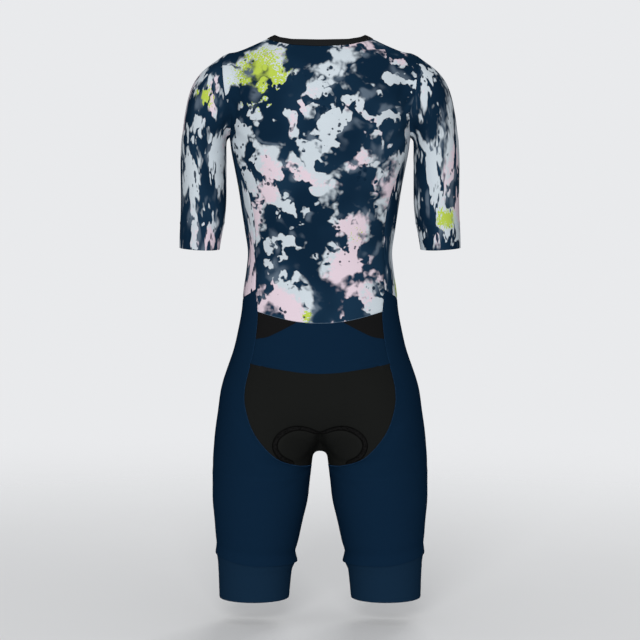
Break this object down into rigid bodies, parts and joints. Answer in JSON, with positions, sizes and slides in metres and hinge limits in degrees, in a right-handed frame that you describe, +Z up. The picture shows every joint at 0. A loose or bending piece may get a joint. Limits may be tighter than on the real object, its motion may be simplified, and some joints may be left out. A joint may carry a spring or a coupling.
{
  "type": "triathlon suit",
  "caption": "Short-legged, half-sleeved one-piece triathlon suit, filled out as worn, with a front zip, printed top, dark legs and a padded seat.",
  "frame": {"origin": "middle of the neck opening, level with the points where neck and shoulders meet", "axes": "+Z up the body, +Y to the wearer's front, +X to the wearer's right"},
  "size_m": [0.4768, 0.232, 0.9502],
  "materials": {
    "printed_knit": "matte stretch knit, navy ground with pale, pink and lime blotches",
    "black_knit": "matte black stretch knit",
    "navy_knit": "smooth navy stretch knit",
    "gripper_band": "smooth navy elastic band",
    "binding": "matte black elastic binding",
    "pad_foam": "black brushed foam pad",
    "zip_tape": "woven black tape with a nylon coil",
    "zip_metal": "satin black"
  },
  "bodies": {
    "suit": {"back_panel": "printed_knit", "front_panel_left": "printed_knit", "front_panel_right": "printed_knit", "side_panel_left": "printed_knit", "side_panel_right": "printed_knit", "sleeve_left": "printed_knit", "sleeve_right": "printed_knit", "neck_binding": "binding", "back_wedge_left": "black_knit", "back_wedge_right": "black_knit", "waist_yoke": "navy_knit", "seat_panel": "black_knit", "seat_pad": "pad_foam", "leg_panel_left": "navy_knit", "leg_panel_right": "navy_knit", "leg_gripper_left": "gripper_band", "leg_gripper_right": "gripper_band", "zip_tape_left": "zip_tape", "zip_tape_right": "zip_tape", "zip_slider": "zip_metal"},
    "pull_tab": {"zip_pull_tab": "zip_metal"}
  },
  "joints": [
    {"name": "pull_tab_hinge", "type": "hinge", "parent": "suit", "child": "pull_tab", "pos_m": [0, 0.08816, -0.04842], "axis": [1, 0, 0], "range_deg": [0, 165]}
  ]
}
